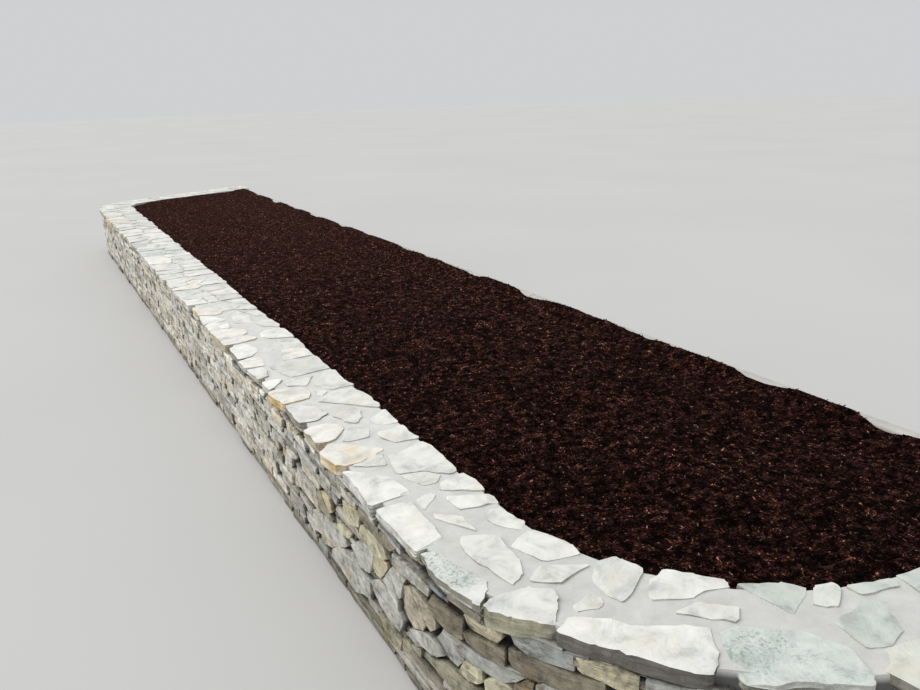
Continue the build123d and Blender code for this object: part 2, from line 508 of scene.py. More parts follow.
def lay_courses(rng, start, end, top, sizes):
    """Rectangles (start, end, low, high) of a rubble face: the next stone always goes on the lowest bed."""
    beds = [[start, end, 0.0]]
    places = []
    while True:
        index = min(range(len(beds)), key=lambda k: beds[k][2])
        left, right, level = beds[index]
        if level > top - 0.002:
            return places
        sides = [beds[k][2] for k in (index - 1, index + 1) if 0 <= k < len(beds)]
        notch = min(sides) - level if sides else top
        width = right - left
        length_range, height_range = sizes((left + right) / 2)
        if notch < lowest_notch and width < narrowest_notch:
            beds[index][2] = level + notch
        else:
            length = rng.uniform(*length_range)
            if rng.random() < short_share:
                length *= short_length
            if width - length < least_length:
                length = width
            if length > length_range[1] * too_long:
                length /= 2
            height = rng.uniform(*height_range)
            if length < 0.1:
                height = min(height, length * 0.75)
            if abs(notch - height) < even_within or height > notch > height_range[0]:
                height = notch
            if top - level - height < least_top:
                height = top - level
            if height > height_range[1] * too_high:
                height /= 2
            if rng.random() < 0.5:
                places.append((left, left + length, level, level + height))
                new = [[left, left + length, level + height], [left + length, right, level]]
            else:
                places.append((right - length, right, level, level + height))
                new = [[left, right - length, level], [right - length, right, level + height]]
            beds[index:index + 1] = [bed for bed in new if bed[1] - bed[0] > 0.001]
        merged = [beds[0]]
        for bed in beds[1:]:
            if abs(bed[2] - merged[-1][2]) < 0.0015:
                merged[-1][1] = bed[1]
            else:
                merged.append(bed)
        beds = merged


lost_share = 0.38  # of the stones with a corner knocked off


def rough_corners(rng, left, right, low, high, rough=1.0):
    """Corners of a stone for a place in the courses: ends and beds out of square, some with a corner lost."""
    slant = min(0.016, (right - left) * 0.12)
    tilt = min(0.005, (high - low) * 0.12) * rough
    if low < 0.003:
        low += rng.uniform(0.0, 0.012)
    corners = [
        Vector((left + rng.uniform(-slant, slant), low + rng.uniform(-0.3, 1) * tilt)),
        Vector((right + rng.uniform(-slant, slant), low + rng.uniform(-0.3, 1) * tilt)),
        Vector((right + rng.uniform(-slant, slant), high - rng.uniform(-0.3, 1) * tilt)),
        Vector((left + rng.uniform(-slant, slant), high - rng.uniform(-0.3, 1) * tilt)),
    ]
    if rng.random() < lost_share and high - low > 0.03:
        lost = rng.randrange(4)
        corner, before, after = corners[lost], corners[lost - 1], corners[(lost + 1) % 4]
        size = rng.uniform(0.010, 0.026)
        towards_before = corner + (before - corner).normalized() * size * rng.uniform(0.7, 1.3)
        towards_after = corner + (after - corner).normalized() * size * rng.uniform(0.7, 1.3)
        corners[lost:lost + 1] = [towards_before, towards_after]
    return corners


def place_in_stone(tree, place, tint_and_shade, spread):
    """The place, shifted for each stone by its own number, so that no two show the same marks."""
    shift = arithmetic(tree, "MULTIPLY", tint_and_shade["Alpha"], spread)
    return add_node(tree, "ShaderNodeVectorMath", {0: place, 1: shift}, operation="ADD").outputs[0]


def stretched(tree, place, by):
    """Output of a place multiplied along its axes, so that a pattern on it is drawn out."""
    return add_node(tree, "ShaderNodeVectorMath", {0: place, 1: by}, operation="MULTIPLY").outputs[0]


def mixed(tree, share, first, second, blend="MIX"):
    """Output of a colour mix whose share and colours are values or sockets."""
    mix = add_node(tree, "ShaderNodeMix", {0: share, 6: first, 7: second}, data_type="RGBA", blend_type=blend)
    return mix.outputs[2]


def times(tree, first, second, share=1.0):
    """Output of the first colour multiplied by the second, as far as the share says."""
    return mixed(tree, share, first, second, blend="MULTIPLY")


wall_stone, tree, place = new_finish("split_wall_stone")
tint_and_shade = add_node(tree, "ShaderNodeAttribute", attribute_name="stone_tint_and_shade").outputs
own_place = place_in_stone(tree, place, tint_and_shade, 9.0)
grain = grain_of(tree, own_place, patch_scale=26.0, grain_scale=300.0)
layered = stretched(tree, own_place, (11.0, 11.0, 80.0))
strata = cloud(tree, layered, 1.0, detail=8.0, roughness=0.70, distortion=0.6)
leaved = stretched(tree, own_place, (7.0, 7.0, 230.0))
leaves = cloud(tree, leaved, 1.0, detail=4.0, roughness=0.6, distortion=0.8)
rusty = cloud(tree, place, 7.0, detail=5.0, roughness=0.7)
streaks = ramp(tree, strata, (0.30, 0.70), (0.44, 0.93), (0.56, 1.04), (0.70, 1.24))
colour = times(tree, tint_and_shade["Color"], streaks)
leaf_lines = ramp(tree, leaves, (0.36, 0.76), (0.46, 1.0), (0.56, 1.02), (0.66, 1.16))
colour = times(tree, colour, leaf_lines)
mottle = ramp(tree, grain["Height"], (0.36, 0.74), (0.50, 1.0), (0.64, 1.22))
colour = times(tree, colour, mottle)
bloom = ramp(tree, grain["Patches"], (0.52, 0.0), (0.68, 0.55))
colour = mixed(tree, bloom, colour, times(tree, tint_and_shade["Color"], (1.45, 1.46, 1.48, 1.0)))
dim = ramp(tree, grain["Patches"], (0.30, 0.50), (0.46, 1.0))
colour = times(tree, colour, dim, 0.9)
cracks = ramp(tree, strata, (0.470, 1.0), (0.492, 0.42), (0.505, 0.42), (0.520, 1.0))
crack_area = ramp(tree, rusty, (0.44, 0.0), (0.54, 1.0))
colour = times(tree, colour, cracks, crack_area)
rust = ramp(tree, rusty, (0.57, 0.0), (0.67, 0.85))
colour = times(tree, colour, (1.04, 0.80, 0.44, 1.0), rust)
colour = times(tree, colour, (0.42, 0.42, 0.43, 1.0), grain["Specks"])

# Soil splashed on its foot, darkened further by painted shade, and painted light under the coping along
# the front, which takes out the coping's shadow
along_axes = add_node(tree, "ShaderNodeSeparateXYZ", {"Vector": place}).outputs
# Soil on the foot, and painted shade there where darker ground would bounce less light
foot_soil_and_shade = fade(tree, along_axes["Z"], 0.012, 0.064, start=1.0, end=0.0)
colour = times(tree, colour, (0.33, 0.30, 0.25, 1.0), foot_soil_and_shade)
painted_light_from = -3.9  # along Y, where the near curve's shade ends
# Painted light: the top of the wall along the front is lightened, to take out the coping's shadow
painted_light_under_coping = fade(tree, along_axes["Z"], wall_head - 0.035, wall_head + 0.002)
along_front = fade(tree, along_axes["Y"], painted_light_from, painted_light_from + 0.5)
colour = times(tree, colour, (1.46, 1.45, 1.42, 1.0), times(tree, painted_light_under_coping, along_front))
relief = mixed(tree, 0.42, strata, grain["Height"])
relief = mixed(tree, 0.22, relief, leaves)
close_finish(tree, colour, roughness=0.86, gloss=0.35, height=relief, depth=0.009, strength=0.9)


def face_sizes(run):
    """Lengths and heights of the stones near a place: blocky round the near curve, then slabby."""
    if run < near_curve_end + 0.4:
        return (0.13, 0.30), (0.044, 0.078)
    return (0.10, 0.33), (0.027, 0.078)


front_bays = 6
front_bay = (front_end - near_curve_end) / front_bays
wall_groups = [("near_return", near_return_run), ("near_curve", near_curve_end)]
wall_groups += [(f"front_{bay + 1}", near_curve_end + (bay + 1) * front_bay) for bay in range(front_bays)]
wall_groups += [("far_corner", far_corner_end), ("far_return", far_return_end + 1.0)]
stone_groups = {name: new_group() for name, _ in wall_groups}


def add_to_bay(groups, run, stone):
    """Lays a stone of the strip on the line, trims it at the wall's ends, and adds it to its bay."""
    lay_on_line(stone)
    end_face = near_high.x if groups is not stone_groups else back_face
    if any(vert.co.x > end_face for vert in stone.verts):
        trim(stone, (end_face, 0, 0), (1, 0, 0))
    if stone.faces:
        add_stone(groups[next(name for name, end in wall_groups if run < end)], stone)
    else:
        stone.free()


drawn_kinds = {
    "tan": (0.600, 0.540, 0.380),
    "buff": (0.580, 0.545, 0.390),
    "ochre": (0.620, 0.525, 0.345),
    "brown": (0.262, 0.232, 0.172),
    "pink": (0.470, 0.415, 0.320),
    "olive": (0.350, 0.330, 0.245),
    "grey": (0.445, 0.448, 0.412),
    "slate": (0.350, 0.362, 0.345),
    "pale": (0.525, 0.520, 0.468),
}
drawn_stones = [  # kind, corners as (millimetres along the wall, millimetres up)
    ("tan", (2145, 355), (2145, 398), (2120, 410), (2085, 405), (2050, 415), (2035, 428), (2020, 420),
     (2018, 396), (2035, 377), (2090, 366)),
    ("slate", (2086, 400), (2080, 432), (2065, 438), (2050, 428), (2056, 412)),
    ("brown", (2145, 352), (2142, 320), (2090, 314), (2010, 330), (2012, 368), (2035, 374), (2090, 362)),
    ("brown", (2282, 382), (2220, 378), (2153, 378), (2150, 322), (2205, 316), (2255, 328), (2285, 342)),
    ("grey", (2235, 302), (2180, 312), (2125, 307), (2085, 308), (2005, 324), (1968, 328), (1950, 322),
     (1980, 296), (2015, 276), (2080, 268), (2150, 262), (2180, 218), (2215, 220), (2250, 230), (2283, 240)),
    ("pink", (2478, 208), (2450, 260), (2442, 312), (2370, 350), (2325, 345), (2288, 336), (2260, 318),
     (2258, 290), (2285, 268), (2310, 272), (2333, 240), (2395, 206), (2445, 202)),
    ("pale", (2700, 175), (2620, 222), (2540, 232), (2496, 226), (2488, 200), (2460, 182), (2480, 135),
     (2535, 122), (2590, 126), (2690, 135)),
    ("olive", (2645, 98), (2575, 112), (2515, 116), (2482, 104), (2495, 62), (2535, 47), (2600, 56)),
    ("olive", (2470, 122), (2415, 135), (2350, 166), (2360, 104), (2420, 86), (2482, 68)),
    ("grey", (2462, 136), (2430, 170), (2385, 184), (2335, 184), (2350, 170), (2415, 138)),
    ("pale", (2415, 190), (2335, 234), (2285, 255), (2222, 225), (2265, 196), (2370, 186)),
    ("olive", (2315, 180), (2260, 192), (2215, 212), (2180, 208), (2130, 206), (2080, 205), (2070, 190),
     (2165, 150), (2220, 150), (2275, 155)),
    ("buff", (2150, 260), (2085, 266), (2088, 226), (2130, 210), (2172, 217)),
    ("buff", (2078, 247), (2040, 276), (2005, 272), (1985, 262), (2000, 225), (2075, 212)),
    ("brown", (1985, 288), (1965, 303), (1950, 320), (1932, 318), (1935, 270), (1990, 250)),
    ("brown", (2005, 374), (1955, 386), (1860, 390), (1760, 393), (1757, 358), (1830, 336), (1915, 328),
     (2003, 326)),
    ("slate", (1996, 424), (1930, 434), (1834, 434), (1832, 400), (1915, 392), (1990, 392)),
    ("tan", (1828, 434), (1735, 438), (1687, 432), (1687, 396), (1730, 386), (1770, 396), (1828, 402)),
    ("grey", (1673, 432), (1565, 436), (1560, 400), (1672, 392)),
    ("pale", (1925, 318), (1905, 330), (1875, 332), (1815, 325), (1820, 285), (1930, 272)),
    ("buff", (2740, 350), (2670, 365), (2570, 358), (2548, 335), (2575, 315), (2670, 296), (2745, 292),
     (2762, 306)),
    ("brown", (2655, 385), (2590, 403), (2490, 402), (2520, 378), (2565, 368), (2658, 370)),
    ("buff", (2880, 365), (2790, 384), (2748, 375), (2770, 322), (2840, 297), (2885, 320)),
    ("ochre", (3118, 285), (3055, 308), (3020, 300), (3000, 262), (3035, 238), (3080, 250)),
    ("pale", (2505, 380), (2450, 390), (2390, 395), (2330, 405), (2295, 390), (2298, 362), (2365, 356),
     (2420, 350), (2465, 340), (2515, 337)),
    ("pale", (2525, 325), (2465, 335), (2440, 332), (2455, 300), (2470, 252), (2500, 232), (2592, 240),
     (2570, 265), (2545, 295)),
    ("tan", (2650, 300), (2605, 310), (2560, 314), (2550, 303), (2572, 272), (2598, 242), (2630, 237),
     (2658, 252)),
    ("pale", (3035, 100), (2960, 150), (2860, 190), (2810, 198), (2765, 178), (2690, 172), (2700, 105),
     (2765, 85), (2840, 45), (2970, 65), (3045, 72)),
    ("pale", (3300, 125), (3165, 190), (3070, 205), (2990, 220), (2925, 220), (2868, 203), (2910, 175),
     (2980, 140), (3105, 112), (3215, 80), (3290, 90)),
    ("pink", (3145, 98), (3025, 135), (2960, 150), (3045, 102), (3135, 75)),
    ("buff", (2945, 250), (2880, 268), (2828, 270), (2855, 236), (2905, 222), (2962, 224)),
    ("olive", (3145, 280), (3110, 285), (3025, 236), (3005, 225), (3060, 210), (3140, 206), (3155, 230)),
    ("pale", (2840, 225), (2745, 293), (2665, 298), (2622, 290), (2668, 255), (2695, 202), (2780, 175)),
]

open_places = [  # millimetres along the wall, millimetres up, width of the gap left there between stones
    (2250, 300, 28), (2310, 260, 32), (2335, 165, 28), (2447, 296, 22), (2455, 165, 32), (2485, 222, 25),
    (2535, 345, 35), (2550, 290, 22), (2660, 235, 40), (2745, 368, 15), (2755, 75, 30), (2760, 400, 40),
    (2763, 312, 15), (2830, 245, 30), (2900, 350, 35), (2965, 275, 48), (3160, 265, 30), (3210, 176, 60),
    (3260, 372, 26), (3345, 55, 32), (3345, 293, 36), (3400, 172, 28), (3425, 253, 36), (3500, 304, 32),
    (3505, 378, 36), (3560, 203, 24), (3600, 257, 26), (3660, 122, 42), (3760, 237, 26), (3795, 400, 24),
    (3900, 300, 30), (3955, 339, 38), (3960, 250, 26), (4045, 186, 32), (4120, 250, 34), (4130, 309, 40),
    (4300, 212, 36), (4335, 278, 30), (4415, 35, 42), (4475, 178, 40), (4540, 229, 32), (4700, 297, 48),
    (4865, 244, 36), (5035, 405, 36), (5065, 364, 36), (5300, 68, 48), (5460, 113, 40), (5640, 160, 42),
]


def filled_spans(left, right, low, high):
    """Stretches of a place in the courses that stones fill, either side of the gaps left open in it."""
    spans = [(left, right)]
    for run, up, width in open_places:
        if left < run / 1000 < right and low < up / 1000 <= high:
            near, far = (run - width / 2) / 1000, (run + width / 2) / 1000
            spans = [
                part for start, end in spans for part in ((start, min(end, near)), (max(start, far), end))
            ]
    return [(start, end) for start, end in spans if end - start > 0.025]


last_open_place = 5.7  # run past which gaps are left by chance again


def joint_width(rng, run):
    """Width of an upright joint there: open here and there, but tight beside the gaps given by place."""
    if run < near_curve_end + 0.1:
        return rng.choice((0.001, 0.002, 0.003, 0.005, 0.010, 0.019))
    if run < last_open_place:
        return rng.choice((0.001, 0.001, 0.002, 0.002, 0.003, 0.005, 0.012))
    return rng.choice((0.001, 0.001, 0.002, 0.002, 0.003, 0.004, 0.018, 0.028, 0.040))


bold, flat = 0.85, 0.65


def roughness_at(run):
    """How roughly the face is split there: bold round the near curve, flatter along the front."""
    return bold if run < near_curve_end + 0.1 else flat


def is_inside(point, corners):
    """Whether a point lies inside a polygon."""
    inside = False
    for here, before in zip(corners, corners[-1:] + corners[:-1]):
        if (here[1] > point[1]) != (before[1] > point[1]):
            share = (point[1] - here[1]) / (before[1] - here[1])
            if point[0] < here[0] + share * (before[0] - here[0]):
                inside = not inside
    return inside


def drawn_share(left, right, low, high):
    """Share of a place in the courses that the drawn stones take up."""
    taken = 0
    for count in range(15):
        point = (left + (right - left) * (count % 5 + 0.5) / 5, low + (high - low) * (count // 5 + 0.5) / 3)
        taken += any(is_inside(point, corners) for _, corners in drawn_places)
    return taken / 15


rng = Random(11)
drawn_places = [
    (kind, [(along / 1000, up / 1000) for along, up in corners]) for kind, *corners in drawn_stones
]
for kind, corners in drawn_places:
    colour = Vector((*drawn_kinds[kind], rng.random()))
    rough = roughness_at(corners[0][0])
    proud = rng.uniform(0.002, 0.008) * rough
    stone = face_stone(rng, corners, rng.uniform(0.07, 0.11), colour, proud, rough=rough)
    add_to_bay(stone_groups, corners[0][0], stone)

wall_end = far_return_end - coping_overhang / cos(far_heading)
tight_from = 2.15  # run past which small stones fill up behind the drawn ones
behind_drawn = 0.016  # how much farther in those stones lie
past_slant = 0.08  # spare length of the far end's stones, which are cut slanting
bed_gap = 0.003
corner_stones = []
for left, right, low, high in lay_courses(rng, coping_overhang, wall_end, wall_head, face_sizes):
    taken = drawn_share(left, right, low, high)
    rough = roughness_at(left)
    if taken > (0.5 if left < tight_from else 0.9):
        continue
    at_near_end = left < coping_overhang + 0.001
    at_far_end = right > wall_end - 0.001
    if at_near_end or at_far_end:
        depth = rng.choice((0.11, 0.15, 0.19))
        corner_stones.append((at_near_end, low, high, depth))
        start, end = (left, wall_end + past_slant) if at_far_end else (coping_overhang, right)
        corners = [(start, low), (end, low), (end, high - bed_gap), (start, high - bed_gap)]
        stone = face_stone(rng, corners, depth, colour_at(rng, left), rng.uniform(-0.009, 0.006), no_side_shade)
        add_to_bay(stone_groups, (left + right) / 2, stone)
        continue
    for start, end in filled_spans(left, right - joint_width(rng, left), low, high):
        corners = rough_corners(rng, start + 0.001, end, low + 0.0004, high - 0.0006, rough)
        proud = rng.uniform(-0.009, 0.006) * rough - (behind_drawn if taken > 0.3 else 0.0)
        stone = face_stone(rng, corners, rng.uniform(0.07, 0.11), colour_at(rng, start), proud, rough=rough)
        add_to_bay(stone_groups, (start + end) / 2, stone)

# Pinnings under the coping
# Thin slaty slivers packed two deep between the top course and the flags, to level their bed. They come
# forward under the flag that sticks out most, and a little beyond it.
slate_kinds = [
    (30, (0.330, 0.332, 0.318)),
    (25, (0.470, 0.465, 0.432)),
    (20, (0.400, 0.365, 0.285)),
    (13, (0.215, 0.220, 0.220)),
    (12, (0.600, 0.585, 0.530)),
]
overhung = (2.04, 2.34)  # run of the flag that sticks out most
forward_there, forward_beyond = 0.017, 0.006
packed_share = 0.88  # of the places that hold a sliver
pinning_top = coping_bed + 0.008
rng = Random(23)
run = coping_overhang
while run < wall_end - 0.02:
    length = rng.uniform(0.05, 0.20)
    levels = [wall_head, wall_head + rng.uniform(0.010, 0.020), pinning_top]
    for low, high in zip(levels, levels[1:]):
        if rng.random() < packed_share:
            end = min(run + length * rng.uniform(0.75, 1.05), wall_end)
            corners = [(run, low), (end, low + rng.uniform(0, 0.003)), (end, high - 0.001),
                       (run + 0.002, high - rng.uniform(0.001, 0.003))]
            proud = rng.uniform(-0.012, 0.005)
            if overhung[0] < run < overhung[1]:
                proud += forward_there
            elif run > overhung[1]:
                proud += forward_beyond
            stone = face_stone(rng, corners, 0.07, pick_colour(rng, slate_kinds), proud)
            add_to_bay(stone_groups, run, stone)
    run += length

# Stones of the two cut ends and the back wall
# The same stone, plainly repeated on the side that backs on the terrace. At the two ends the courses carry on
# from the corner stones, and between them the wall stands lower, under the kerb.
back_runs = {}
for name in (f"back_wall_{bay + 1}" for bay in range(5)):
    low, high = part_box(name)
    back_runs[name] = (low.y, high.y, high.z)
near_inner = back_runs["back_wall_1"][0]
far_inner = back_runs["back_wall_5"][1]
far_outer = on_line(Vector((wall_end, -coping_overhang, 0))).y
back_heart_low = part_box("back_wall_1")[0].x


def back_stone(rng, near, far, low, high):
    """A stone of the back face between two places along Y, its face towards +X."""
    corners = rough_corners(rng, -far, -near, low + 0.001, high - 0.0015)
    stone = face_stone(rng, corners, 0.09, pick_colour(rng, pale_kinds), rng.uniform(-0.012, -0.002))
    for vert in stone.verts:
        vert.co = Vector((back_face + vert.co.y + coping_overhang, -vert.co.x, vert.co.z))
        vert.co.x = min(vert.co.x, back_face)
    return stone


rng = Random(37)
for at_near_end, low, high, depth in corner_stones:
    if at_near_end:
        near, far = near_low.y + coping_overhang + depth, near_inner
    else:
        near, far = far_inner, far_outer - depth / cos(far_heading)
    joint_at = near + (far - near) * rng.uniform(0.4, 0.6)
    spans = [(near, far)] if far - near < 0.15 else [(near, joint_at), (joint_at, far)]
    for span_near, span_far in spans:
        stone = back_stone(rng, span_near + 0.002, span_far - 0.002, low, high)
        add_stone(stone_groups["near_return" if at_near_end else "far_return"], stone)


def nodes_of(bay, part, nodes):
    """CAD nodes of the wall or coping that a bay's group stands for."""
    if bay.startswith("front"):
        return [f"front_{part}_{bay[-1]}"]
    return [node for node in nodes if node.startswith(f"{bay}_{part}")]


for bay, _ in wall_groups:
    replaced = nodes_of(bay, "wall", wall_nodes)
    finish_piece(stone_groups[bay], f"{bay}_stones", wall_stone, "wall_stone", *replaced)

back_top = back_runs["back_wall_1"][2]
back_places = lay_courses(rng, near_inner, far_inner, back_top, lambda run: ((0.11, 0.32), (0.034, 0.075)))
for name, (start, end, _) in back_runs.items():
    group = new_group()
    for near, far, low, high in back_places:
        if start <= (near + far) / 2 < end:
            far -= rng.choice((0.002, 0.004, 0.010))
            add_stone(group, back_stone(rng, near + 0.001, far, low, high))
    finish_piece(group, name.replace("wall", "stones"), wall_stone, "wall_stone", name)
bm = cut_box(
    (back_heart_low, near_inner - 0.01, 0.002),
    (back_face - joint_recess, far_inner + 0.01, back_top - 0.002),
    cuts_across=120, cuts_up=5,
)
for vert in bm.verts:
    if vert.co.x > back_face - joint_recess - 0.01:
        roughen(vert, 0)
finish_piece(bm, "back_heart", joint_mortar_in_painted_shade, "wall_stone", *back_runs)

# Mortar of the coping
# Smooth trowelled mortar that the flags are set in. It stands a few millimetres below their tops, wide
# between the flags round the near curve, and stops short of their outer edges. It has painted shade round
# the near curve, where it is darker than along the front, and under the flags.
flag_proud = 0.004
mortar_back = 0.034  # the mortar's outer face behind the coping's edge
mortar_finish, tree, place = new_finish("coping_mortar")
grain = grain_of(tree, place, patch_scale=17.0, grain_scale=420.0)
colour = ramp(
    tree, grain["Patches"], (0.30, (0.575, 0.58, 0.555)), (0.50, (0.645, 0.65, 0.623)),
    (0.72, (0.71, 0.712, 0.685)),
)
colour = times(tree, colour, (0.72, 0.71, 0.70, 1.0), grain["Specks"])
along_axes = add_node(tree, "ShaderNodeSeparateXYZ", {"Vector": place}).outputs
# Painted shade: the mortar's face is darkened under the flags' overhang
painted_shade_under_flags = fade(tree, along_axes["Z"], coping_top - 0.024, coping_top - 0.009, start=0.22)
colour = times(tree, colour, painted_shade_under_flags)
# Painted shade: darker round the near curve, paler along the front
painted_curve_shade = fade(tree, along_axes["Y"], -4.0, -2.9, start=0.97, end=1.09)
colour = times(tree, colour, painted_curve_shade)
close_finish(tree, colour, roughness=0.90, gloss=0.3, height=grain["Height"], depth=0.003, strength=0.35)

coping_nodes = [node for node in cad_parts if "_coping" in node]
mortar_inset = 0.006  # from the coping's cut ends and its inner edge
bm = cut_box(
    (mortar_inset, -coping_width + mortar_inset, coping_bed),
    (far_return_end + 0.10, -mortar_back, coping_top - flag_proud),
    cuts_along=560, cuts_across=12,
)
on_top = coping_bed + 0.01
trowel_waves, trowel_marks = 0.0018, 0.0006  # unevenness of its top
outer_waves, inner_waves = 0.006, 0.005  # of its outer face, which leans back by as much, and its inner one
for vert in bm.verts:
    away = noise.noise(Vector((vert.co.x * 16.0, vert.co.y * 16.0, 2.0)))
    if vert.co.z > on_top:
        vert.co.z += trowel_waves * noise.noise(vert.co * 7.0) + trowel_marks * away
    if vert.co.y > -mortar_back - 0.002:
        vert.co.y += outer_waves * away
        if vert.co.z > on_top:
            vert.co.y -= outer_waves
    if vert.co.y < -coping_width + 0.01:
        vert.co.y += inner_waves * away
lay_on_line(bm)
trim(bm, (near_high.x - mortar_inset, 0, 0), (1, 0, 0))
finish_piece(bm, "coping_mortar", mortar_finish, "coping_stone", *coping_nodes)

